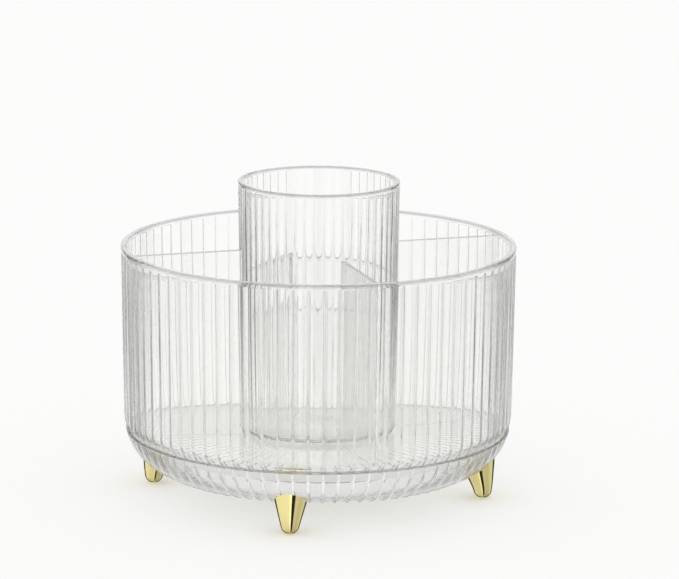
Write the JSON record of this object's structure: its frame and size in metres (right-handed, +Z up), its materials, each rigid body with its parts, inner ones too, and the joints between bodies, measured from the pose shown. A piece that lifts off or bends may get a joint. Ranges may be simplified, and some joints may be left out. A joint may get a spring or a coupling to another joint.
{
  "type": "rotating desk organizer",
  "caption": "Round clear fluted desk organizer with a taller centre cup and radial dividers that turns on a caged ball bearing over a bowl base with tapered gold feet.",
  "frame": {"origin": "centre of the footprint, on the desk between the feet's tips", "axes": "+Z up along the spin axis; at rest the dividers lie along X and Y, and -Y is the front"},
  "size_m": [0.1798, 0.1798, 0.145],
  "materials": {
    "clear_acrylic": "clear, polished",
    "frosted_plastic": "frosted",
    "cage_plastic": "moulded",
    "gold": "polished",
    "ball_steel": "polished",
    "screw_steel": "plated"
  },
  "bodies": {
    "base": {"base_bowl": "clear_acrylic", "foot_front": "gold", "foot_right": "gold", "foot_rear": "gold", "foot_left": "gold"},
    "bin": {"outer_bin": "clear_acrylic", "brush_cup": "clear_acrylic", "divider_front": "clear_acrylic", "divider_right": "clear_acrylic", "divider_rear": "clear_acrylic", "divider_left": "clear_acrylic", "turntable_disc": "frosted_plastic", "pivot_washer": "screw_steel", "pivot_screw": "screw_steel"},
    "bearing": {"ball_cage": "cage_plastic", "bearing_balls": "ball_steel"}
  },
  "joints": [
    {"name": "bin_spin", "type": "hinge", "parent": "base", "child": "bin", "pos_m": [0, 0, 0.03], "axis": [0, 0, 1], "continuous": true},
    {"name": "bearing_spin", "type": "hinge", "parent": "base", "child": "bearing", "pos_m": [0, 0, 0.0237], "axis": [0, 0, 1], "continuous": true}
  ],
  "couplings": [
    {"joint": "bearing_spin", "follows": "bin_spin", "ratio": 0.5}
  ]
}
